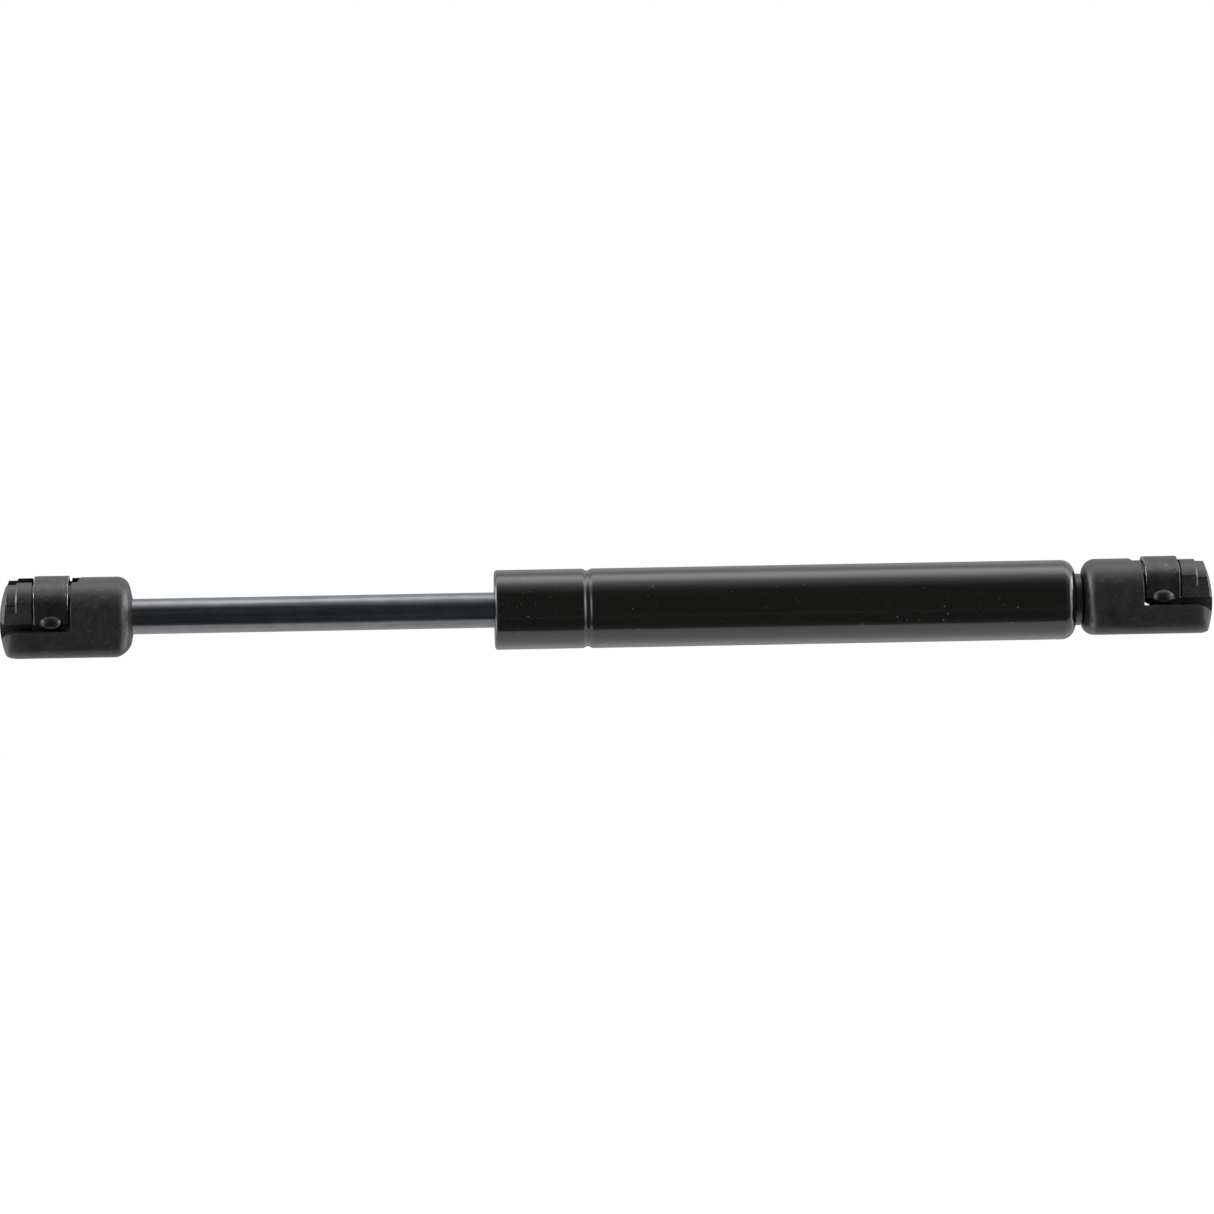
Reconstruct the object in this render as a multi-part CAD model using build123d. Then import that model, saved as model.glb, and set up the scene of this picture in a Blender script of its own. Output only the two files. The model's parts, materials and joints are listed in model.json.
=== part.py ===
from build123d import *
import math
import os

# Gas strut stay with a ball socket at each end.
# X runs along the strut, with the rod end at -X and the tube end at +X.
# Z is up, away from both socket mouths.
# The origin is the ball centre of the tube-end socket.

# ---- strut ----
ball_spacing = 250.0
tube_radius = 9.0
tube_wall = 1.0
tube_length = 131.25
tube_end_x = -19.35
tube_start_x = tube_end_x - tube_length
lip_hole_radius = 4.7
lip_corner = 0.7
closed_end_round = 3.0
collar_hole_radius = 5.9
bead_x = tube_start_x + 20.9
bead_depth = 0.42
bead_half_width = 1.15
rod_radius = 4.0

# ---- end fitting, measured from its own ball centre, with +X towards its free end ----
base_x = -18.0
tip_x = 11.92
body_radius = 9.1
mouth_z = -8.1
mouth_corner = 3.3
base_dome_radius = 26.0
base_round = 2.9
tip_dome_radius = 22.0
tip_dome_z = -0.8
nose_corner = 4.6
shelf_z = -1.6
seat_start_x = -4.4
seat_end_x = 4.3
seat_radius = 8.45
seat_half_width = 6.3
shoulder_round = 0.25
rib_end_x = 7.85
rib_radius = 9.2
rib_step_z = 2.65
rib_chamfer = 0.3
core_half_width = 7.7
tip_radius = 8.75
tip_half_width = 7.45
tip_line_z = 4.25
tip_line_width = 0.3
tip_line_depth = 0.35
web_start_x = 4.0
web_half_width = 3.0
ear_round_x = 5.2
ear_round_z = 4.2
ear_inner_y = 3.2
groove_half_width = 3.0
groove_floor_z = 7.2
groove_ramp_low_x = -4.5
groove_ramp_high_x = -7.0

# ---- ball seat ----
seat_bore_radius = 5.05
seat_bore_length = 1.0
throat_radius = 5.3
throat_mouth_radius = 5.75
window_half_width = 1.7
window_y = (4.5, 6.7)
window_z = (-2.6, 3.5)

# ---- retaining clip ----
clip_half_length = 3.85
clip_sheet = 0.85
clip_outer_radius = 9.5
clip_half_width = 8.0
clip_shoulder_radius = 4.0
clip_edge_round = 0.2
clip_bend_radius = 1.45
tab_half_width = 1.4
tab_reach = 2.05
tab_slope = 28.8
dimple_x = 0.0
dimple_z = 0.2
dimple_half_length = 2.55
dimple_half_height = 1.75
dimple_height = 1.15
dimple_depth = 0.7

# ---- threaded ends inside the fittings ----
stud_radius = 3.0
stud_length = 10.0
stud_clearance = 0.05
bore_spare_length = 0.4
counterbore_radius = 4.35
counterbore_depth = 1.2

# ---- clearances ----
running_clearance = 0.03
seal_clearance = 0.02
free_clearance = 0.3
stack_clearance = 0.05

# ---- sealing pack at the rod end, as distances from the tube's rod end ----
stack_radius = tube_radius - tube_wall - stack_clearance
guide_from, guide_to = 1.0, 9.0
bush_from, bush_to = 1.6, 8.6
bush_outer_radius = 4.75
seal_to = 12.6
seal_groove_depth = 2.2
seal_groove_inner, seal_groove_outer = 5.2, 6.9
energiser_from_seal_end = 1.3
energiser_section_radius = 0.8
washer_to = 13.6
spacer_to = 20.0
spacer_inner_radius = 6.6

# ---- piston pack, as distances from the tube's rod end at full extension ----
piston_from, piston_to = 24.0, 30.0
piston_radius = 7.8
front_disc_thickness, front_disc_radius = 1.2, 7.0
metering_disc_thickness, metering_disc_radius = 0.4, 6.4
back_washer_thickness, back_washer_radius = 1.0, 5.6
rivet_thickness = 1.1
rivet_radius = 3.7
rivet_chamfer = 0.8
spigot_radius = 2.5
ring_radius = tube_radius - tube_wall - running_clearance
ring_inner_radius = 6.9
ring_from, ring_to = 25.6, 28.4
ring_side_clearance = 0.06

# ---- end plug ----
plug_from_x = tube_end_x - 13.8
plug_to_x = tube_end_x - 3.2
collar_radius = 5.85
o_ring_x = tube_end_x - 8.6
o_ring_centre_radius = 7.0
o_ring_section_radius = 0.92
o_ring_groove_floor = 6.0
o_ring_groove_width = 2.4

# ---- rod-end fitting's place ----
rod_fitting_turn = 10.0

# ---- sizes of cutting shapes, larger than anything they cut ----
beyond = 1.0
wide = 20.0

os.makedirs("parts", exist_ok=True)


def turned(points):
    """A solid turned about X from a closed outline of (x, radius) points."""
    return revolve(make_face(Polyline(*points, close=True)), axis=Axis.X)


def ring(x_from, x_to, inner, outer):
    """A plain ring about X."""
    return turned([(x_from, inner), (x_to, inner), (x_to, outer), (x_from, outer)])


def o_ring(centre_x, centre_radius, section_radius):
    """A round-section ring about X."""
    return Pos(centre_x, 0, 0) * Rot(0, 90, 0) * Torus(centre_radius, section_radius)


def block(x_range, y_range, z_range):
    """A box given by its lowest and highest x, y and z."""
    size = [high - low for low, high in (x_range, y_range, z_range)]
    middle = [(high + low) / 2 for low, high in (x_range, y_range, z_range)]
    return Pos(*middle) * Box(*size)


def both_sides(part):
    """A part together with its mirror image across the XZ plane."""
    return part + mirror(part, about=Plane.XZ)


def along_x(outline, x_from, x_to):
    """A flat (y, z) outline drawn out along X."""
    return extrude(Plane.YZ.offset(x_from) * outline, amount=x_to - x_from)


def edges_where(part, test):
    """The part's edges whose midpoint passes a test."""
    return part.edges().filter_by(lambda edge: test(edge.position_at(0.5)))


# ---------------------------------------------------------------- end fitting


def body_outline():
    """Half-round top, upright sides and a flat mouth face with rounded corners."""
    top = Circle(body_radius) & Pos(0, body_radius / 2) * Rectangle(2 * body_radius, body_radius)
    outline = top + Pos(0, mouth_z / 2) * Rectangle(2 * body_radius, -mouth_z)
    return fillet(outline.vertices().group_by(Axis.Y)[0], mouth_corner)


def tip_dome():
    """The sphere that rounds the free end."""
    return Pos(tip_x - tip_dome_radius, 0, tip_dome_z) * Sphere(tip_dome_radius)


def fitting_rear():
    """The solid half that takes the thread, with its domed and rounded base."""
    prism = along_x(body_outline(), base_x - beyond, seat_start_x)
    centre_x = base_x + math.sqrt(base_dome_radius**2 - rod_radius**2)
    domed = prism & Pos(centre_x, 0, 0) * Sphere(base_dome_radius)
    return fillet(edges_where(domed, lambda middle: middle.X < base_x + base_round), base_round)


def fitting_lower_front():
    """The part round the socket's throat, below the side slots, with a nose rounded in plan and beneath."""
    plan = Pos((seat_start_x + tip_x) / 2, 0) * Rectangle(tip_x - seat_start_x, 2 * body_radius)
    plan = fillet(plan.vertices().group_by(Axis.X)[-1], nose_corner)
    column = extrude(Plane.XY.offset(mouth_z) * plan, amount=shelf_z - mouth_z)
    rim = edges_where(column, lambda middle: middle.Z < mouth_z + 0.01 and middle.X > seat_start_x + 0.01)
    return (fillet(rim, mouth_corner) & tip_dome()) - both_sides(ear_corner())


def ear_corner():
    """What rounds the upper free-end corner of each ear, seen from the side as a quarter ellipse."""
    corner_x, corner_z = tip_x - ear_round_x, shelf_z - ear_round_z
    square = block(
        (corner_x, tip_x + beyond), (ear_inner_y, body_radius + beyond), (corner_z, shelf_z + beyond)
    )
    cylinder = scale(Rot(90, 0, 0) * Cylinder(1, 2 * wide), by=(ear_round_x, 1, ear_round_z))
    return square - Pos(corner_x, 0, corner_z) * cylinder


def core_slice(x_from, x_to, radius, half_width, z_low=0.0):
    """A slice of the socket's upper core: a round top between two upright flats."""
    height = radius - z_low
    outline = Circle(radius) & Pos(0, z_low + height / 2) * Rectangle(2 * half_width, height)
    return along_x(outline, x_from, x_to)


def core_rib():
    """The rib beside the clip, chamfered where it stands above the free-end portion."""
    upper = core_slice(seat_end_x, rib_end_x, rib_radius, core_half_width, rib_step_z)
    step = edges_where(upper, lambda middle: middle.X > rib_end_x - 0.01 and middle.Z > rib_step_z + 0.01)
    lower = block((seat_end_x, tip_x), (-core_half_width, core_half_width), (0, rib_step_z))
    return chamfer(step, rib_chamfer) + lower


def core_tip():
    """The free-end portion: lower than the rib, with a fine line along each side."""
    tip = core_slice(rib_end_x, tip_x, tip_radius, tip_half_width)
    line = block(
        (rib_end_x, tip_x + beyond),
        (tip_half_width - tip_line_depth, body_radius),
        (tip_line_z - tip_line_width / 2, tip_line_z + tip_line_width / 2),
    )
    return tip - both_sides(line)


def fitting_core():
    """The core above the side slots, with walls and a web down to the ears."""
    seat = core_slice(seat_start_x, seat_end_x, seat_radius, seat_half_width)
    wall = block((window_half_width, seat_end_x), (-seat_half_width, seat_half_width), (shelf_z, 0))
    web = block((web_start_x, tip_x), (-web_half_width, web_half_width), (shelf_z, 0))
    return seat + wall + ((core_rib() + core_tip() + web) & tip_dome())


def lever_groove():
    """The groove along the top for a screwdriver, with a ramp at its inner end."""
    top_z = body_radius + beyond
    outline = Polyline(
        (tip_x + beyond, groove_floor_z),
        (groove_ramp_low_x, groove_floor_z),
        (groove_ramp_high_x, body_radius + stack_clearance),
        (groove_ramp_high_x, top_z),
        (tip_x + beyond, top_z),
        close=True,
    )
    return extrude(Plane.XZ * make_face(outline), amount=groove_half_width, both=True)


def ball_cavity():
    """Seat for the ball: a hemisphere, a short upright band, and a throat that widens to the mouth."""
    band = Pos(0, 0, seat_bore_length / 2) * Cylinder(seat_bore_radius, seat_bore_length)
    dome = Sphere(seat_bore_radius) & block((-wide, wide), (-wide, wide), (0, wide))
    throat = Pos(0, 0, mouth_z / 2) * Cone(throat_mouth_radius, throat_radius, -mouth_z)
    return band + dome + throat


def tab_windows():
    """Windows in the seat wall, one a side, that let the clip's tabs in and up."""
    return both_sides(block((-window_half_width, window_half_width), window_y, window_z))


def base_bore():
    """Threaded bore and counterbore in the base."""
    floor_x = base_x + counterbore_depth
    bore = ring(base_x, floor_x + stud_length + bore_spare_length, 0, stud_radius + stud_clearance)
    return bore + ring(base_x - beyond, floor_x, 0, counterbore_radius)


def socket_body():
    """The moulded ball socket, one solid."""
    shell = fitting_rear() + fitting_lower_front()
    shoulder = edges_where(
        shell, lambda middle: abs(middle.X - seat_start_x) < 0.01 and middle.Z > shelf_z + 0.01
    )
    solid = fillet(shoulder, shoulder_round) + fitting_core()
    return solid - lever_groove() - ball_cavity() - tab_windows() - base_bore()


# ---------------------------------------------------------------- retaining clip


def clip_outline(radius, half_width, corner):
    """An arc over the top that runs through rounded corners into two upright flats."""
    outline = Circle(radius) & Rectangle(2 * half_width, 2 * radius)
    return fillet(outline.vertices(), corner)


def clip_bow():
    """The sheet bow over the top and down both sides, with its outer edges rounded."""
    outer = clip_outline(clip_outer_radius, clip_half_width, clip_shoulder_radius)
    inner = clip_outline(
        clip_outer_radius - clip_sheet, clip_half_width - clip_sheet, clip_shoulder_radius - clip_sheet
    )
    upper = Pos(0, clip_outer_radius / 2) * Rectangle(wide, clip_outer_radius)
    bow = along_x((outer - inner) & upper, -clip_half_length, clip_half_length)
    leg_middle_y = clip_half_width - clip_sheet / 2
    crown_radius = clip_outer_radius - clip_sheet / 2
    rim = edges_where(
        bow,
        lambda middle: abs(middle.X) > clip_half_length - 0.01
        and middle.Z > 0.01
        and (abs(middle.Y) > leg_middle_y or math.hypot(middle.Y, middle.Z) > crown_radius),
    )
    return fillet(rim, clip_edge_round)


def clip_hook():
    """The leg's end turned inwards as a tab that holds the ball."""
    centre_y = clip_half_width - clip_bend_radius
    outer = Circle(clip_bend_radius) - Circle(clip_bend_radius - clip_sheet)
    square = Rectangle(clip_bend_radius, clip_bend_radius)
    quarter = outer & Pos(clip_bend_radius / 2, -clip_bend_radius / 2) * square
    slope = math.radians(tab_slope)
    along = (-math.cos(slope), -math.sin(slope))
    down = (math.sin(slope), -math.cos(slope))
    root = (centre_y + stack_clearance / 2, clip_sheet - clip_bend_radius)
    tip = (root[0] + tab_reach * along[0], root[1] + tab_reach * along[1])
    tab = Polyline(
        root,
        tip,
        (tip[0] + clip_sheet * down[0], tip[1] + clip_sheet * down[1]),
        (root[0] + clip_sheet * down[0], root[1] + clip_sheet * down[1]),
        close=True,
    )
    bend = along_x(Pos(centre_y, 0) * quarter, -tab_half_width, tab_half_width)
    return bend + along_x(make_face(tab), -tab_half_width, tab_half_width)


def clip_dimple():
    """The pressed dimple on a leg: an ellipsoid's cap."""
    height = dimple_height + dimple_depth
    spread = math.sqrt(1 - (dimple_depth / height) ** 2)
    by = (dimple_half_length / spread, height, dimple_half_height / spread)
    cap = Pos(dimple_x, clip_half_width - dimple_depth, dimple_z) * scale(Sphere(1), by=by)
    return cap & block((-wide, wide), (clip_half_width - clip_sheet, wide), (-clip_bend_radius, wide))


def clip():
    """The spring-steel retaining clip, one solid."""
    return clip_bow() + both_sides(clip_hook() + clip_dimple())


# ---------------------------------------------------------------- pressure tube and its fixed parts


def bead_curve(radius):
    """The rolled bead's dip in a wall of the given radius."""
    start, end = (bead_x - bead_half_width, radius), (bead_x + bead_half_width, radius)
    return Spline(start, (bead_x, radius - bead_depth), end, tangents=[(1, 0), (1, 0)])


def pressure_tube():
    """Tube with a rolled lip, a rolled bead and a rounded closed end."""
    inner = tube_radius - tube_wall
    lip_in_x = tube_start_x + tube_wall
    round_x = tube_end_x - closed_end_round
    closed_in_x = tube_end_x - tube_wall
    inner_round = closed_end_round - tube_wall
    corner_r = tube_radius - lip_corner
    bead_from, bead_to = bead_x - bead_half_width, bead_x + bead_half_width
    outer_bead = bead_curve(tube_radius)
    inner_bead = bead_curve(inner)
    outline = [
        Line((tube_start_x, lip_hole_radius), (tube_start_x, corner_r)),
        CenterArc((tube_start_x + lip_corner, corner_r), lip_corner, 90, 90),
        Line((tube_start_x + lip_corner, tube_radius), (bead_from, tube_radius)),
        outer_bead,
        Line((bead_to, tube_radius), (round_x, tube_radius)),
        CenterArc((round_x, tube_radius - closed_end_round), closed_end_round, 0, 90),
        Line((tube_end_x, tube_radius - closed_end_round), (tube_end_x, collar_hole_radius)),
        Line((tube_end_x, collar_hole_radius), (closed_in_x, collar_hole_radius)),
        Line((closed_in_x, collar_hole_radius), (closed_in_x, inner - inner_round)),
        CenterArc((round_x, inner - inner_round), inner_round, 0, 90),
        Line((round_x, inner), (bead_to, inner)),
        inner_bead,
        Line((bead_from, inner), (lip_in_x, inner)),
        Line((lip_in_x, inner), (lip_in_x, lip_hole_radius)),
        Line((lip_in_x, lip_hole_radius), (tube_start_x, lip_hole_radius)),
    ]
    return revolve(make_face(outline), axis=Axis.X)


def rod_guide():
    """Guide body that centres the rod, with a pocket for its bush."""
    body = ring(tube_start_x + guide_from, tube_start_x + guide_to, rod_radius + free_clearance, stack_radius)
    return body - ring(tube_start_x + bush_from, tube_start_x + bush_to, rod_radius, bush_outer_radius)


def guide_bush():
    """Plain bearing bush in which the rod slides and turns."""
    return ring(
        tube_start_x + bush_from, tube_start_x + bush_to, rod_radius + running_clearance, bush_outer_radius
    )


def rod_seal():
    """Lip seal with a groove on its gas side for the energiser ring."""
    end = tube_start_x + seal_to
    body = ring(tube_start_x + guide_to, end, rod_radius + seal_clearance, stack_radius)
    return body - ring(end - seal_groove_depth, end, seal_groove_inner, seal_groove_outer)


def seal_energiser_ring():
    """O-ring that spreads the seal's two lips."""
    centre_radius = (seal_groove_inner + seal_groove_outer) / 2
    return o_ring(tube_start_x + seal_to - energiser_from_seal_end, centre_radius, energiser_section_radius)


def seal_support_washer():
    """Steel washer that backs the seal."""
    return ring(tube_start_x + seal_to, tube_start_x + washer_to, rod_radius + free_clearance, stack_radius)


def retaining_spacer():
    """Sleeve between the washer and the rolled bead."""
    return ring(tube_start_x + washer_to, tube_start_x + spacer_to, spacer_inner_radius, stack_radius)


def end_plug():
    """Plug closing the tube, with its collar outside the tube and its threaded stud."""
    groove_from, groove_to = o_ring_x - o_ring_groove_width / 2, o_ring_x + o_ring_groove_width / 2
    collar_from = tube_end_x - tube_wall - free_clearance
    collar_to = base_x - stack_clearance
    stud_from = base_x + counterbore_depth
    return turned(
        [
            (plug_from_x, 0),
            (plug_from_x, stack_radius),
            (groove_from, stack_radius),
            (groove_from, o_ring_groove_floor),
            (groove_to, o_ring_groove_floor),
            (groove_to, stack_radius),
            (plug_to_x, stack_radius),
            (collar_from, collar_radius),
            (collar_to, collar_radius),
            (collar_to, rod_radius),
            (stud_from, rod_radius),
            (stud_from, stud_radius),
            (stud_from + stud_length, stud_radius),
            (stud_from + stud_length, 0),
        ]
    )


def end_plug_o_ring():
    """O-ring in the plug's groove."""
    return o_ring(o_ring_x, o_ring_centre_radius, o_ring_section_radius)


# ---------------------------------------------------------------- rod and piston pack


def piston_rod():
    """Rod with a threaded stud outside, a spigot for the piston pack and a riveted head."""
    shoulder_x = -ball_spacing - base_x - counterbore_depth
    pack_from = tube_start_x + piston_from - front_disc_thickness
    pack_to = tube_start_x + piston_to + metering_disc_thickness + back_washer_thickness
    return turned(
        [
            (shoulder_x - stud_length, 0),
            (shoulder_x - stud_length, stud_radius),
            (shoulder_x, stud_radius),
            (shoulder_x, rod_radius),
            (pack_from, rod_radius),
            (pack_from, spigot_radius),
            (pack_to, spigot_radius),
            (pack_to, rivet_radius),
            (pack_to + rivet_thickness, rivet_radius - rivet_chamfer),
            (pack_to + rivet_thickness, 0),
        ]
    )


def piston():
    """Piston with a groove for its ring."""
    body = ring(tube_start_x + piston_from, tube_start_x + piston_to, spigot_radius, piston_radius)
    groove_from = tube_start_x + ring_from - ring_side_clearance
    groove_to = tube_start_x + ring_to + ring_side_clearance
    return body - ring(groove_from, groove_to, ring_inner_radius - stack_clearance, tube_radius)


def piston_ring():
    """Ring that runs on the tube's wall and lets the piston turn inside it."""
    return ring(tube_start_x + ring_from, tube_start_x + ring_to, ring_inner_radius, ring_radius)


def piston_front_disc():
    """Stop disc on the rod side of the piston."""
    end = tube_start_x + piston_from
    return ring(end - front_disc_thickness, end, spigot_radius, front_disc_radius)


def piston_metering_disc():
    """Thin disc that meters the gas and oil through the piston."""
    start = tube_start_x + piston_to
    return ring(start, start + metering_disc_thickness, spigot_radius, metering_disc_radius)


def piston_back_washer():
    """Washer under the rivet head."""
    start = tube_start_x + piston_to + metering_disc_thickness
    return ring(start, start + back_washer_thickness, spigot_radius, back_washer_radius)


# ---------------------------------------------------------------- assembly


def at_rod_end(part):
    """A fitting part turned to face -X, moved to the rod end and turned about the strut."""
    return Rot(rod_fitting_turn, 0, 0) * Pos(-ball_spacing, 0, 0) * Rot(0, 0, 180) * part


nodes = {
    "pressure_tube": pressure_tube(),
    "rod_guide": rod_guide(),
    "guide_bush": guide_bush(),
    "rod_seal": rod_seal(),
    "seal_energiser_ring": seal_energiser_ring(),
    "seal_support_washer": seal_support_washer(),
    "retaining_spacer": retaining_spacer(),
    "end_plug": end_plug(),
    "end_plug_o_ring": end_plug_o_ring(),
    "tube_end_socket": socket_body(),
    "tube_end_clip": clip(),
    "piston_rod": piston_rod(),
    "piston": piston(),
    "piston_ring": piston_ring(),
    "piston_front_disc": piston_front_disc(),
    "piston_metering_disc": piston_metering_disc(),
    "piston_back_washer": piston_back_washer(),
    "rod_end_socket": at_rod_end(socket_body()),
    "rod_end_clip": at_rod_end(clip()),
}

for name, part in nodes.items():
    export_step(part, f"parts/{name}.step")
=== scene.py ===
"""Gas strut stay: the looks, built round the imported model.

Lengths are in metres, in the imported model's frame: X along the strut from the rod end to the tube end, Z up,
away from both socket mouths, and the origin at the ball centre of the tube-end socket.
"""

import json
import math

import bmesh
import bpy
import numpy as np
from bpy.props import FloatProperty, FloatVectorProperty, IntProperty, PointerProperty
from mathutils import Matrix, Vector


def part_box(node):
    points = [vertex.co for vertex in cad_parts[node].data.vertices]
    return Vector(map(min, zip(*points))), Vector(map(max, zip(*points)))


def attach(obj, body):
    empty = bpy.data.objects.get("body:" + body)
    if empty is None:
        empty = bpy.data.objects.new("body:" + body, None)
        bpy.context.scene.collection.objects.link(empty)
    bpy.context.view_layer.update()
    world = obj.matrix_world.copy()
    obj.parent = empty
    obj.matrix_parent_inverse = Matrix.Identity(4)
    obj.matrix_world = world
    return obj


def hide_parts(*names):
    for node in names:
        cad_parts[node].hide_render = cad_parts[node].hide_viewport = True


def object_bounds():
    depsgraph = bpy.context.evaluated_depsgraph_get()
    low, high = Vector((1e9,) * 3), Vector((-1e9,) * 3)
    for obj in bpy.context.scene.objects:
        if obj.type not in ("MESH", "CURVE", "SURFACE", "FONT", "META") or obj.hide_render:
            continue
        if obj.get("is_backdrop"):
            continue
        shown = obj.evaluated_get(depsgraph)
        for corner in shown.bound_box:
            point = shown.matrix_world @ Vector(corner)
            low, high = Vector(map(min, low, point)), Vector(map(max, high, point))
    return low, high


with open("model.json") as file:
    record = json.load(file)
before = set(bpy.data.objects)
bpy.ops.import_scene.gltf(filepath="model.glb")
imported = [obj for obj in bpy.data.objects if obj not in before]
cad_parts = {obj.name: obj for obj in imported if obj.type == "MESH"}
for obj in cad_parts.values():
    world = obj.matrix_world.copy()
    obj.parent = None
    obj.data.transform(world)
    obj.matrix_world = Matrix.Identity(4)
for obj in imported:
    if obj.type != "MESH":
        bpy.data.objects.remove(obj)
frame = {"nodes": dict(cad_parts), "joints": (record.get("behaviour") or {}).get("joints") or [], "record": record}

bl_info = {
    "name": "Gas Strut Stay",
    "version": (1, 0, 0),
    "blender": (4, 5, 0),
    "location": "3D View > Sidebar > Gas Strut",
    "description": "Builds the visible surfaces and finishes of a gas strut stay with two ball sockets",
    "category": "Add Mesh",
}

MM = 0.001
NODES = frame["nodes"]
JOINTS = {joint["name"]: joint for joint in frame["joints"]}
MOUNTS = {mount["name"]: mount for mount in frame["record"]["mounts"]}
TUBE_LOW, TUBE_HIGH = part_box("pressure_tube")
TUBE_RADIUS = TUBE_HIGH.z
LIP_EDGE = 0.3 * MM
COLLAR_CLEARANCE = 0.05 * MM
BEAD_STEPS = 41
BEAD_POWER = 0.8

# Light of the room as (degrees about X, radiance): pale above and below, dark in front, dim far behind, and a
# softbox overhead.
ROOM_PEAK = 4.0
ROOM_LIGHT = (
    (-180.0, 0.3), (-165.0, 0.4), (-150.0, 0.85), (-130.0, 1.35), (-76.0, 1.45), (-68.0, 1.35), (-64.5, 0.3),
    (-55.0, 0.13), (-28.0, 0.12), (-25.0, 0.28), (-22.0, 0.12), (20.0, 0.12), (48.0, 0.16), (57.0, 0.42),
    (63.0, 0.6), (68.0, 1.0), (75.0, 1.25), (82.0, 2.3), (90.0, 3.5), (98.0, 4.0), (106.0, 3.5), (114.0, 2.0),
    (120.0, 1.25), (145.0, 1.0), (165.0, 0.4), (180.0, 0.3),
)
# Light added by the screens towards the two ends, as (how far a direction points along X, radiance).
END_PEAK = 6.5
END_LIGHT = ((0.0, 0.0), (0.25, 0.0), (0.4, 0.2), (0.69, 0.2), (0.75, 1.2), (0.84, 6.5), (1.0, 6.0))
# The share of that light in a direction is END_RISE times how far it points up, plus END_LEVEL, from 0 to 1.
END_RISE = 0.8
END_LEVEL = 0.75
# Straight along X the room is dim, so that the strut still shows when it is seen end on.
FAR_END_LIGHT = 0.35
FAR_END_FROM = 0.94
FAR_END_FADE = 0.03


# ------------------------------------------------------------------ settings


class StrutSizes(bpy.types.PropertyGroup):
    """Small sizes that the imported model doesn't carry."""

    segments: IntProperty(
        name="Round segments",
        description="Steps round a turned surface",
        default=192, min=32, max=512,
    )
    lip_hole_radius: FloatProperty(
        name="Lip hole radius",
        description="Radius of the hole in the rolled lip",
        default=4.7 * MM, unit="LENGTH",
    )
    lip_corner: FloatProperty(
        name="Lip corner",
        description="Outer corner radius of the rolled lip",
        default=0.7 * MM, unit="LENGTH",
    )
    closed_end_round: FloatProperty(
        name="Closed end round",
        description="Radius of the tube's closed end",
        default=3.0 * MM, unit="LENGTH",
    )
    tube_wall: FloatProperty(
        name="Tube wall", description="Wall of the tube", default=1.0 * MM, unit="LENGTH"
    )
    collar_radius: FloatProperty(
        name="Collar radius",
        description="Radius of the end plug's collar",
        default=5.85 * MM, unit="LENGTH",
    )
    bead_from_lip: FloatProperty(
        name="Bead place",
        description="Distance of the rolled bead from the lip",
        default=20.9 * MM, unit="LENGTH",
    )
    bead_half_width: FloatProperty(
        name="Bead half width",
        description="Half the width of the rolled bead",
        default=1.15 * MM, unit="LENGTH",
    )
    bead_depth: FloatProperty(
        name="Bead depth", description="Depth of the rolled bead", default=0.42 * MM, unit="LENGTH"
    )


class StrutColours(bpy.types.PropertyGroup):
    """Base colours of the finishes."""

    paint: FloatVectorProperty(
        name="Tube paint",
        description="Gloss black paint",
        default=(0.0025, 0.0026, 0.0021), size=3, subtype="COLOR",
    )
    dust: FloatVectorProperty(
        name="Dust",
        description="Specks settled on the paint",
        default=(0.16, 0.16, 0.155), size=3, subtype="COLOR",
    )
    nitride: FloatVectorProperty(
        name="Rod",
        description="Dark nitrided steel",
        default=(0.118, 0.124, 0.132), size=3, subtype="COLOR",
    )
    plastic: FloatVectorProperty(
        name="Sockets",
        description="Black moulded nylon",
        default=(0.0082, 0.0086, 0.0085), size=3, subtype="COLOR",
    )
    # Whitened nylon of the scuffs; the same colour also paints the highlight on the rib step and the light towards
    # the free end.
    scuff_and_painted_light: FloatVectorProperty(
        name="Scuffs",
        description="Nylon whitened by scuffing",
        default=(0.17, 0.17, 0.165), size=3, subtype="COLOR",
    )
    spring: FloatVectorProperty(
        name="Clips",
        description="Blackened spring steel",
        default=(0.048, 0.049, 0.050), size=3, subtype="COLOR",
    )
    bare: FloatVectorProperty(
        name="Bare edges",
        description="Steel where its finish has worn off",
        default=(0.55, 0.54, 0.52), size=3,
        subtype="COLOR",
    )
    plug: FloatVectorProperty(
        name="End plug",
        description="Phosphated steel",
        default=(0.02, 0.021, 0.021), size=3, subtype="COLOR",
    )


class StrutStage(bpy.types.PropertyGroup):
    """Camera, floor and light."""

    distance: FloatProperty(
        name="Camera distance",
        description="From the camera to the middle of the strut",
        default=1.3, unit="LENGTH",
    )
    lens: FloatProperty(
        name="Lens", description="Focal length in millimetres", default=170.7, unit="CAMERA"
    )
    turn: FloatProperty(
        name="Turn",
        description="How far the tube end turns away",
        default=math.radians(2.2), subtype="ANGLE",
    )
    roll: FloatProperty(
        name="Roll",
        description="How far the strut rises to the right",
        default=math.radians(1.05), subtype="ANGLE",
    )
    aim_along: FloatProperty(
        name="Aim along",
        description="Camera's aim beyond the strut's middle",
        default=-0.2 * MM, unit="LENGTH",
    )
    aim_height: FloatProperty(
        name="Aim height",
        description="Camera's aim above the strut's axis",
        default=0.22 * MM, unit="LENGTH",
    )
    floor_drop: FloatProperty(
        name="Floor drop",
        description="Floor's distance below the strut's axis",
        default=0.13, unit="LENGTH",
    )
    floor_size: FloatProperty(
        name="Floor size", description="Side of the floor", default=8.0, unit="LENGTH"
    )
    brightness: FloatProperty(
        name="Brightness",
        description="Multiplies the light of the room round the strut",
        default=1.0, min=0.0,
    )
    end_light: FloatProperty(
        name="End light",
        description="Multiplies the light of the screens beyond the two ends",
        default=1.0, min=0.0,
    )


# ------------------------------------------------------------------ shader graphs


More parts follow.
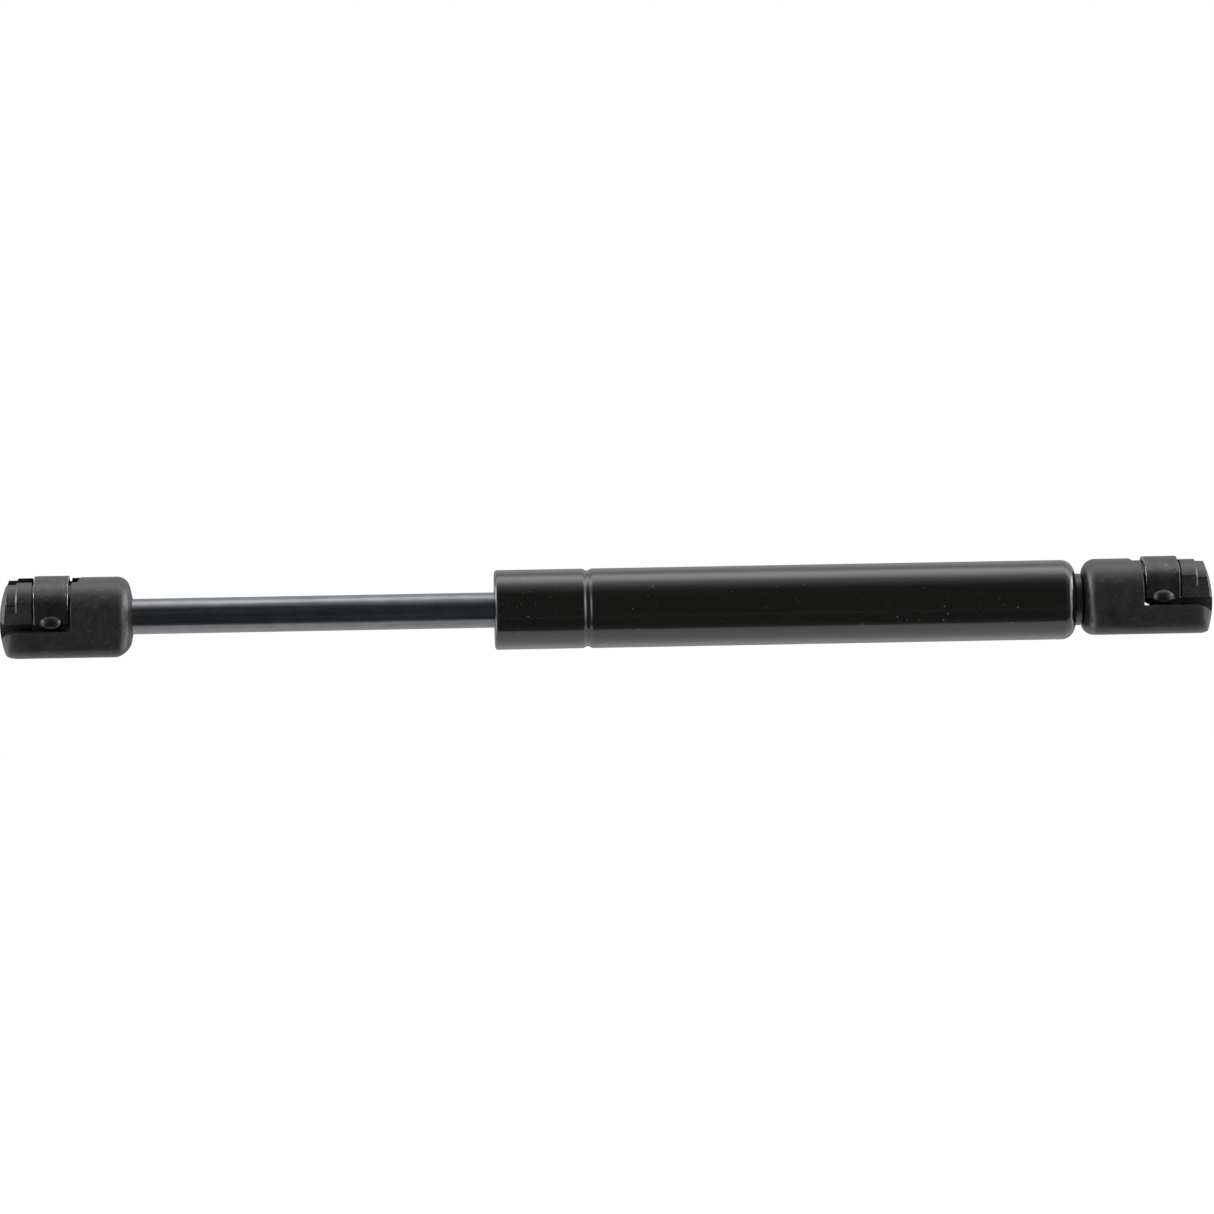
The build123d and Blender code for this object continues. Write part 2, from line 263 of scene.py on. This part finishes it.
class Socket:
    """An output of a shader node. Arithmetic on it adds Math nodes."""

    def __init__(self, graph, output):
        self.graph = graph
        self.output = output

    def math(self, operation, first, *rest):
        """A Math node on two or three values."""
        values = dict(enumerate((first, *rest)))
        return self.graph.add("ShaderNodeMath", {"operation": operation}, values)[0]

    def __add__(self, other):
        return self.math("ADD", self, other)

    def __radd__(self, other):
        return self.math("ADD", other, self)

    def __sub__(self, other):
        return self.math("SUBTRACT", self, other)

    def __rsub__(self, other):
        return self.math("SUBTRACT", other, self)

    def __mul__(self, other):
        return self.math("MULTIPLY", self, other)

    def __rmul__(self, other):
        return self.math("MULTIPLY", other, self)

    def __truediv__(self, other):
        return self.math("DIVIDE", self, other)

    def absolute(self):
        """This value without its sign."""
        return self.math("ABSOLUTE", self)

    def clamped(self):
        """This value kept between 0 and 1."""
        return self.math("MINIMUM", self.math("MAXIMUM", self, 0.0), 1.0)


class Added:
    """A node just added, whose outputs are Sockets by name or number."""

    def __init__(self, graph, node):
        self.graph = graph
        self.node = node

    def __getitem__(self, key):
        return Socket(self.graph, self.node.outputs[key])


class Graph:
    """A node tree that grows by calls."""

    def __init__(self, tree):
        self.tree = tree
        tree.nodes.clear()

    def add(self, kind, settings=None, inputs=None):
        """Any node: its settings first, with a ramp's stops among them, then its inputs' values or links."""
        node = self.tree.nodes.new(kind)
        settings = dict(settings or {})
        stops = settings.pop("stops", None)
        for name, value in settings.items():
            setattr(node, name, value)
        if stops:
            self.set_stops(node.color_ramp, stops)
        for key, value in (inputs or {}).items():
            if isinstance(value, Socket):
                self.tree.links.new(value.output, node.inputs[key])
            else:
                node.inputs[key].default_value = value
        return Added(self, node)

    @staticmethod
    def set_stops(ramp, stops):
        """Puts (place, grey or colour) stops on a ramp."""
        while len(ramp.elements) < len(stops):
            ramp.elements.new(1.0)
        for element, (place, colour) in zip(ramp.elements, stops):
            element.position = place
            red_green_blue = (colour,) * 3 if isinstance(colour, (int, float)) else colour
            element.color = (*red_green_blue, 1.0)

    def ramp(self, value, stops, interpolation="LINEAR"):
        """A colour ramp on a value."""
        added = self.add("ShaderNodeValToRGB", {"stops": stops}, {"Fac": value})
        added.node.color_ramp.interpolation = interpolation
        return added["Color"]

    def mix(self, factor, first, second, blend="MIX"):
        """A colour mix; a plain colour is three numbers."""
        colours = [c if isinstance(c, Socket) else (*c, 1.0) for c in (first, second)]
        settings = {"data_type": "RGBA", "blend_type": blend}
        return self.add("ShaderNodeMix", settings, {0: factor, 6: colours[0], 7: colours[1]})[2]

    def place(self, scale=(1.0, 1.0, 1.0), centre=(0.0, 0.0, 0.0)):
        """Object coordinates, moved and stretched."""
        where = self.add("ShaderNodeTexCoord")["Object"]
        return self.vector("MULTIPLY", self.vector("SUBTRACT", where, centre)[0], scale)[0]

    def vector(self, operation, first, second):
        """A Vector Math node on two vectors."""
        return self.add("ShaderNodeVectorMath", {"operation": operation}, {0: first, 1: second})

    def noise(self, where, scale, detail=4.0, roughness=0.55):
        """A noise between 0 and 1."""
        inputs = {"Vector": where, "Scale": scale, "Detail": detail, "Roughness": roughness}
        return self.add("ShaderNodeTexNoise", {}, inputs)["Fac"]

    def bump(self, height, strength, distance, normal=None):
        """A Bump node's normal."""
        inputs = {"Height": height, "Strength": strength, "Distance": distance}
        if normal is not None:
            inputs["Normal"] = normal
        return self.add("ShaderNodeBump", {}, inputs)["Normal"]


def material(name, inputs, build):
    """A Principled material from the fixed values of its sockets and from build's links that vary."""
    made = bpy.data.materials.new(name)
    made.use_nodes = True
    graph = Graph(made.node_tree)
    shader = graph.add("ShaderNodeBsdfPrincipled", {}, {**inputs, **build(graph)})
    graph.add("ShaderNodeOutputMaterial", {}, {"Surface": shader["BSDF"]})
    made.diffuse_color = (0.1, 0.1, 0.1, 1.0)
    return made


def dress(obj, finish):
    """Gives an object one material."""
    obj.data.materials.clear()
    obj.data.materials.append(finish)


# ------------------------------------------------------------------ finishes


def fitting_frame(graph, end):
    """Distances from a fitting's ball centre: towards its free end, across, and up away from its mouth."""
    centre = MOUNTS[end + "_ball_seat"]["pos_m"]
    up = JOINTS[end + "_clip_lift"]["axis"]
    outward = 1.0 if end == "tube_end" else -1.0
    where = graph.place(centre=centre)
    axes = ((outward, 0.0, 0.0), (0.0, up[2], -up[1]), tuple(up))
    return [graph.vector("DOT_PRODUCT", where, axis)["Value"] for axis in axes]


def near(value, target, half_width):
    """A mask of 1 within half_width of a target value, fading to 0 at twice that."""
    return (2.0 - (value - target).absolute() / half_width).clamped()


def above(value, limit, fade):
    """A mask that rises from 0 to 1 over the stretch of length fade past a limit."""
    return ((value - limit) / fade).clamped()


def tube_paint(colours):
    """Gloss black paint with a faint orange peel and settled dust."""

    def build(graph):
        where = graph.place()
        peel = graph.noise(where, 900.0, 2.0)
        waves = graph.noise(graph.place((60.0, 260.0, 260.0)), 1.0, 2.0)
        dust = graph.ramp(graph.noise(where, 2300.0, 1.0), [(0.0, 0.0), (0.775, 0.0), (0.82, 1.0)])
        colour = graph.mix(dust, tuple(colours.paint), tuple(colours.dust))
        rough = graph.noise(where, 300.0, 3.0) * 0.05 + 0.075
        fine = graph.bump(peel, 0.04, 0.00004)
        return {"Base Color": colour, "Roughness": rough, "Normal": graph.bump(waves, 0.06, 0.00025, fine)}

    return material("gloss_black_paint", {"IOR": 1.5}, build)


def rod_steel(colours):
    """Nitrided and polished rod: blue-grey, with long streaks and faint mottling."""

    def build(graph):
        blotch = graph.noise(graph.place((0.6, 1.0, 1.0)), 420.0, 5.0, 0.65)
        streaks = graph.noise(graph.place((22.0, 1400.0, 1400.0)), 1.0, 3.0, 0.6)
        tone = graph.ramp(blotch * 0.35 + streaks * 0.65, [(0.34, 0.7), (0.66, 1.3)])
        colour = graph.mix(1.0, tuple(colours.nitride), tone, "MULTIPLY")
        rough = blotch * 0.1 + streaks * 0.12 + 0.12
        return {"Base Color": colour, "Roughness": rough, "Normal": graph.bump(streaks, 0.16, 0.00003)}

    return material("nitrided_rod", {"Metallic": 1.0}, build)


def scratches(graph, turn, scale):
    """Short marks lying along X once turned about Y by an angle, as a mask."""
    inputs = {"Vector": graph.place(), "Rotation": (0.0, turn, 0.0)}
    turned_place = graph.add("ShaderNodeMapping", {"vector_type": "POINT"}, inputs)[0]
    stretched = graph.vector("MULTIPLY", turned_place, scale)[0]
    return graph.ramp(graph.noise(stretched, 1.0, 2.0), [(0.0, 0.0), (0.6, 0.0), (0.7, 1.0)])


def moulded_nylon(colours, end):
    """Black glass-filled nylon: satin, cloudy and marked, with scuffed ends, a painted highlight along the rib
    step and painted light growing towards the free end.
    """

    def build(graph):
        along, across, up = fitting_frame(graph, end)
        where = graph.place()
        cloud = graph.noise(where, 300.0, 5.0, 0.65)
        grain = graph.noise(where, 2400.0, 3.0, 0.65)
        falling = scratches(graph, 0.6, (420.0, 900.0, 1900.0))
        rising = scratches(graph, -0.95, (650.0, 900.0, 2100.0))
        marks = (falling + rising * 0.5).clamped()
        free_end = above(along, 8.8 * MM, 2.4 * MM)
        base_end = above(-1.0 * along, 15.4 * MM, 1.2 * MM)
        fleck = graph.ramp(graph.noise(where, 1500.0, 3.0, 0.7), [(0.0, 0.0), (0.55, 0.0), (0.66, 1.0)])
        # Painted highlight: a light line on the rib step across the front flats, standing in for the light the
        # step catches.
        step = near(along, 7.8 * MM, 0.12 * MM) * above(up, 2.5 * MM, 0.3 * MM)
        painted_rib_highlight = step * above(across.absolute(), 6.0 * MM, 0.5 * MM)
        # Painted light: the nylon grows lighter towards the free end, standing in for the light its rounded end
        # catches.
        painted_nose_light = above(along, 4.0 * MM, 7.0 * MM)
        ends = (free_end + base_end).clamped()
        # Real scuffed flecks at both ends and real scratches, together with the painted highlight on the rib step
        # and the painted light towards the free end.
        lightening = (ends * fleck * 0.16 + painted_nose_light * 0.035 + painted_rib_highlight * 0.5 + marks * 0.042).clamped()
        tint = graph.ramp(cloud, [(0.3, 0.62), (0.7, 1.42)])
        base = graph.mix(1.0, tuple(colours.plastic), tint, "MULTIPLY")
        colour = graph.mix(lightening, base, tuple(colours.scuff_and_painted_light))
        rough = cloud * 0.24 + 0.24 + marks * 0.08
        lumps = graph.bump(cloud, 0.32, 0.0002)
        dents = graph.bump(marks, 0.28, 0.00006, lumps)
        return {"Base Color": colour, "Roughness": rough, "Normal": graph.bump(grain, 0.32, 0.00004, dents)}

    return material(end + "_moulded_nylon", {"IOR": 1.39}, build)


def spring_steel(colours, end):
    """Blackened spring steel, rubbed through to bare metal along the sheet's long edges, with painted shade
    darkening the dimples, which are also smoother.
    """

    def build(graph):
        along, across, up = fitting_frame(graph, end)
        where = graph.place()
        blotch = graph.noise(where, 420.0, 5.0, 0.65)
        streaks = graph.noise(graph.place((300.0, 300.0, 3800.0)), 1.0, 3.0)
        rim = above(along.absolute(), 3.72 * MM, 0.08 * MM)
        broken = graph.ramp(graph.noise(where, 900.0, 3.0), [(0.4, 0.05), (0.66, 0.7)])
        marks = scratches(graph, 0.9, (500.0, 900.0, 2600.0))
        dimple = above(across.absolute(), 8.05 * MM, 0.1 * MM)
        tone = graph.ramp(blotch, [(0.3, (0.72, 0.73, 0.75)), (0.72, (1.25, 1.2, 1.12))])
        base = graph.mix(1.0, tuple(colours.spring), tone, "MULTIPLY")
        lightening = (rim * broken + marks * 0.1).clamped()
        # Painted shade: the dimples are darkened by a fixed share, standing in for the darker look that the light
        # gives the bulges.
        shade = graph.mix(dimple * 0.15, base, (0.0, 0.0, 0.0))
        colour = graph.mix(lightening, shade, tuple(colours.bare))
        rough = blotch * 0.2 + 0.34 - dimple * 0.1
        return {"Base Color": colour, "Roughness": rough, "Normal": graph.bump(streaks, 0.15, 0.00003)}

    return material(end + "_spring_steel", {"Metallic": 1.0}, build)


def dark_steel(colours):
    """Phosphated steel of the end plug."""

    def build(graph):
        grain = graph.noise(graph.place(), 1500.0, 4.0)
        tone = graph.ramp(grain, [(0.3, 0.7), (0.7, 1.3)])
        colour = graph.mix(1.0, tuple(colours.plug), tone, "MULTIPLY")
        rough = grain * 0.2 + 0.25
        return {"Base Color": colour, "Roughness": rough, "Normal": graph.bump(grain, 0.1, 0.00003)}

    return material("phosphated_steel", {"Metallic": 0.6}, build)


def inner_finish(name, colour, metallic, rough):
    """A turned, moulded or rubber finish for the pieces inside."""

    def build(graph):
        rings = graph.noise(graph.place((3000.0, 90.0, 90.0)), 1.0, 3.0)
        tone = graph.ramp(rings, [(0.3, 0.85), (0.7, 1.1)])
        return {
            "Base Color": graph.mix(1.0, colour, tone, "MULTIPLY"),
            "Roughness": rings * 0.1 + rough,
            "Normal": graph.bump(rings, 0.1, 0.00003),
        }

    return material(name, {"Metallic": metallic}, build)


# ------------------------------------------------------------------ meshes


def quads(rows, columns, wrap_rows, wrap_columns):
    """Vertex numbers of the quads of a grid, as one array."""
    i = np.arange(rows if wrap_rows else rows - 1)
    j = np.arange(columns if wrap_columns else columns - 1)
    i, j = (a.ravel() for a in np.meshgrid(i, j, indexing="ij"))
    following_i, following_j = (i + 1) % rows, (j + 1) % columns
    row, following_row = i * columns, following_i * columns
    corners = (row + j, row + following_j, following_row + following_j, following_row + j)
    return np.stack(corners, axis=1)


def solid(name, points, faces, sharp=32.0):
    """An object from points and quads, with doubles merged, faces turned outwards and sharp edges kept."""
    mesh = bpy.data.meshes.new(name)
    mesh.from_pydata(points.tolist(), [], faces.tolist())
    work = bmesh.new()
    work.from_mesh(mesh)
    bmesh.ops.remove_doubles(work, verts=work.verts, dist=1e-7)
    bmesh.ops.recalc_face_normals(work, faces=work.faces)
    work.to_mesh(mesh)
    work.free()
    mesh.shade_smooth()
    mesh.set_sharp_from_angle(angle=math.radians(sharp))
    obj = bpy.data.objects.new(name, mesh)
    bpy.context.scene.collection.objects.link(obj)
    return obj


def turned(name, profile, segments, closed=False):
    """A surface turned about X: a profile point (x, r) becomes (x, r cos a, r sin a) for every angle a."""
    angle = np.linspace(0.0, 2 * np.pi, segments, endpoint=False)
    radius = profile[:, 1:]
    x = np.broadcast_to(profile[:, :1], (len(profile), segments))
    points = np.stack([x, radius * np.cos(angle), radius * np.sin(angle)], axis=-1)
    return solid(name, points.reshape(-1, 3), quads(len(profile), segments, closed, True))


def arc(centre, radius, start, end, steps=12):
    """Points on an arc about a centre, between two angles in degrees."""
    angle = np.radians(np.linspace(start, end, steps))
    return np.stack([centre[0] + radius * np.cos(angle), centre[1] + radius * np.sin(angle)], axis=1)


def tube_profile(sizes):
    """Outline of the tube's wall: lip, bead, rounded closed end, and back along the inside.

    The bead's dip is its depth times (half of 1 + cos(pi t)) to the power BEAD_POWER, and t runs from -1 to 1
    across it.
    """
    start, end = TUBE_LOW.x, TUBE_HIGH.x
    outer, wall = TUBE_RADIUS, sizes.tube_wall
    inner = outer - wall
    corner, closed = sizes.lip_corner, sizes.closed_end_round
    bead_x = start + sizes.bead_from_lip
    across = np.linspace(-1.0, 1.0, BEAD_STEPS)
    dip = sizes.bead_depth * (0.5 + 0.5 * np.cos(np.pi * across)) ** BEAD_POWER
    bead = np.stack([bead_x + sizes.bead_half_width * across, outer - dip], axis=1)
    inner_bead = np.stack([bead[::-1, 0], bead[::-1, 1] - wall], axis=1)
    hole = sizes.collar_radius + COLLAR_CLEARANCE
    pieces = [
        arc((start + LIP_EDGE, sizes.lip_hole_radius + LIP_EDGE), LIP_EDGE, 270, 180, 6),
        arc((start + corner, outer - corner), corner, 180, 90),
        bead,
        arc((end - closed, outer - closed), closed, 90, 0, 24),
        np.array([[end, hole], [end - wall, hole]]),
        arc((end - closed, outer - closed), closed - wall, 0, 90, 16),
        inner_bead,
        np.array([[start + wall, inner], [start + wall, sizes.lip_hole_radius]]),
    ]
    return np.concatenate(pieces)


# ------------------------------------------------------------------ operators


class STRUT_OT_tube(bpy.types.Operator):
    """Build the pressure tube's wall as one turned surface and paint it"""

    bl_idname = "strut.tube"
    bl_label = "Pressure Tube"

    def execute(self, context):
        sizes = context.scene.strut_sizes
        tube = turned("painted_tube", tube_profile(sizes), sizes.segments, closed=True)
        dress(tube, tube_paint(context.scene.strut_colours))
        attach(tube, "cylinder")
        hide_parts("pressure_tube")
        return {"FINISHED"}


class STRUT_OT_rod(bpy.types.Operator):
    """Finish the rod"""

    bl_idname = "strut.rod"
    bl_label = "Piston Rod"

    def execute(self, context):
        dress(NODES["piston_rod"], rod_steel(context.scene.strut_colours))
        return {"FINISHED"}


class STRUT_OT_fittings(bpy.types.Operator):
    """Finish the ball sockets and their clips"""

    bl_idname = "strut.fittings"
    bl_label = "Ball Sockets"

    def execute(self, context):
        colours = context.scene.strut_colours
        for end in ("tube_end", "rod_end"):
            dress(NODES[end + "_socket"], moulded_nylon(colours, end))
            dress(NODES[end + "_clip"], spring_steel(colours, end))
        return {"FINISHED"}


class STRUT_OT_inner(bpy.types.Operator):
    """Finish the end plug, the sealing pack and the piston pack"""

    bl_idname = "strut.inner"
    bl_label = "Inner Pieces"

    def execute(self, context):
        dress(NODES["end_plug"], dark_steel(context.scene.strut_colours))
        steel = inner_finish("turned_steel", (0.5, 0.5, 0.5), 1.0, 0.3)
        acetal = inner_finish("acetal", (0.75, 0.74, 0.7), 0.0, 0.4)
        bronze = inner_finish("bearing_bronze", (0.6, 0.42, 0.22), 1.0, 0.35)
        rubber = inner_finish("nitrile_rubber", (0.02, 0.02, 0.02), 0.0, 0.55)
        finishes = {
            steel: (
                "seal_support_washer",
                "piston", "piston_front_disc", "piston_metering_disc", "piston_back_washer",
            ),
            acetal: ("rod_guide", "retaining_spacer", "piston_ring"),
            bronze: ("guide_bush",),
            rubber: ("rod_seal", "seal_energiser_ring", "end_plug_o_ring"),
        }
        for finish, names in finishes.items():
            for name in names:
                dress(NODES[name], finish)
        return {"FINISHED"}


class STRUT_OT_stage(bpy.types.Operator):
    """Set the pale floor, the lit room round the strut and the camera"""

    bl_idname = "strut.stage"
    bl_label = "Stage"

    def execute(self, context):
        stage = context.scene.strut_stage
        low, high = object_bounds()
        middle = Vector(((low[0] + high[0]) / 2, 0.0, 0.0))
        set_camera(stage, middle)
        set_floor(stage, middle)
        set_world(stage)
        context.scene.view_settings.view_transform = "Standard"
        return {"FINISHED"}


def set_camera(stage, middle):
    """A level camera that looks along +Y, turned and rolled a little."""
    view = Vector((math.sin(stage.turn), math.cos(stage.turn), 0.0))
    level = Vector((view.y, -view.x, 0.0))
    right = level * math.cos(stage.roll) - Vector((0, 0, 1)) * math.sin(stage.roll)
    up = level * math.sin(stage.roll) + Vector((0, 0, 1)) * math.cos(stage.roll)
    data = bpy.data.cameras.new("camera")
    data.lens = stage.lens
    data.clip_start = 0.05
    camera = bpy.data.objects.new("camera", data)
    aim = middle + Vector((stage.aim_along, 0, stage.aim_height))
    turn = Matrix((right, up, -view)).transposed().to_4x4()
    camera.matrix_world = Matrix.Translation(aim - view * stage.distance) @ turn
    bpy.context.scene.collection.objects.link(camera)
    bpy.context.scene.camera = camera


def set_floor(stage, middle):
    """A plain pale floor well below the strut, out of its reflections."""
    half = stage.floor_size / 2
    corners = np.array([[-half, -half], [half, -half], [half, half], [-half, half]]) + (middle.x, 0.0)
    points = np.column_stack([corners, np.full(4, -stage.floor_drop)])
    floor = solid("floor", points, np.array([[0, 1, 2, 3]]))

    def build(graph):
        mottle = graph.noise(graph.place(), 3.0, 3.0)
        return {"Base Color": graph.ramp(mottle, [(0.0, 0.9), (1.0, 0.93)])}

    dress(floor, material("pale_floor", {"Roughness": 0.9}, build))
    floor.visible_glossy = False
    floor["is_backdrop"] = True


def set_world(stage):
    """A lit room: its light depends on the angle round the strut, with bright screens towards both ends.

    The angle is measured about X: 0 in front of the strut, 90 overhead and -90 underneath. The screens are
    brighter higher up, and straight along X it is dim. What the camera sees directly is plain white.
    """
    world = bpy.data.worlds.new("room")
    world.use_nodes = True
    graph = Graph(world.node_tree)
    direction = graph.add("ShaderNodeTexCoord")["Generated"]
    split = graph.add("ShaderNodeSeparateXYZ", {}, {0: direction})
    across, forward, up = split["X"], split["Y"], split["Z"]
    angle = up.math("ARCTAN2", up, forward * -1.0)
    stops = [((degrees + 180.0) / 360.0, light / ROOM_PEAK) for degrees, light in ROOM_LIGHT]
    round_strut = graph.ramp(angle / (2 * math.pi) + 0.5, stops) * ROOM_PEAK
    end_stops = [(place, light / END_PEAK) for place, light in END_LIGHT]
    raised = (up * END_RISE + END_LEVEL).clamped()
    ends = graph.ramp(across.absolute(), end_stops) * raised * (END_PEAK * stage.end_light)
    sides = round_strut + ends
    light = sides + (FAR_END_LIGHT - sides) * above(across.absolute(), FAR_END_FROM, FAR_END_FADE)
    seen = graph.add("ShaderNodeLightPath")["Is Camera Ray"]
    strength = seen + (1.0 - seen) * light * stage.brightness
    inputs = {"Color": (1.0, 1.0, 1.0, 1.0), "Strength": strength}
    background = graph.add("ShaderNodeBackground", {}, inputs)
    graph.add("ShaderNodeOutputWorld", {}, {"Surface": background["Background"]})
    bpy.context.scene.world = world


class STRUT_PT_panel(bpy.types.Panel):
    """Lists the build steps and their settings"""

    bl_label = "Gas Strut"
    bl_idname = "STRUT_PT_panel"
    bl_space_type = "VIEW_3D"
    bl_region_type = "UI"
    bl_category = "Gas Strut"

    def draw(self, context):
        scene = context.scene
        for group in (scene.strut_sizes, scene.strut_colours, scene.strut_stage):
            box = self.layout.box()
            for name in group.bl_rna.properties.keys():
                if name not in ("rna_type", "name"):
                    box.prop(group, name)
        for operator in OPERATORS:
            self.layout.operator(operator.bl_idname)


OPERATORS = (STRUT_OT_stage, STRUT_OT_tube, STRUT_OT_rod, STRUT_OT_fittings, STRUT_OT_inner)
GROUPS = {"strut_sizes": StrutSizes, "strut_colours": StrutColours, "strut_stage": StrutStage}


def register():
    for cls in (*GROUPS.values(), *OPERATORS, STRUT_PT_panel):
        bpy.utils.register_class(cls)
    for name, group in GROUPS.items():
        setattr(bpy.types.Scene, name, PointerProperty(type=group))


def unregister():
    for name in GROUPS:
        delattr(bpy.types.Scene, name)
    for cls in reversed((*GROUPS.values(), *OPERATORS, STRUT_PT_panel)):
        bpy.utils.unregister_class(cls)


def main():
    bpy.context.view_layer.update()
    register()
    for operator in OPERATORS:
        group, name = operator.bl_idname.split(".")
        getattr(getattr(bpy.ops, group), name)()


if __name__ == "__main__":
    main()
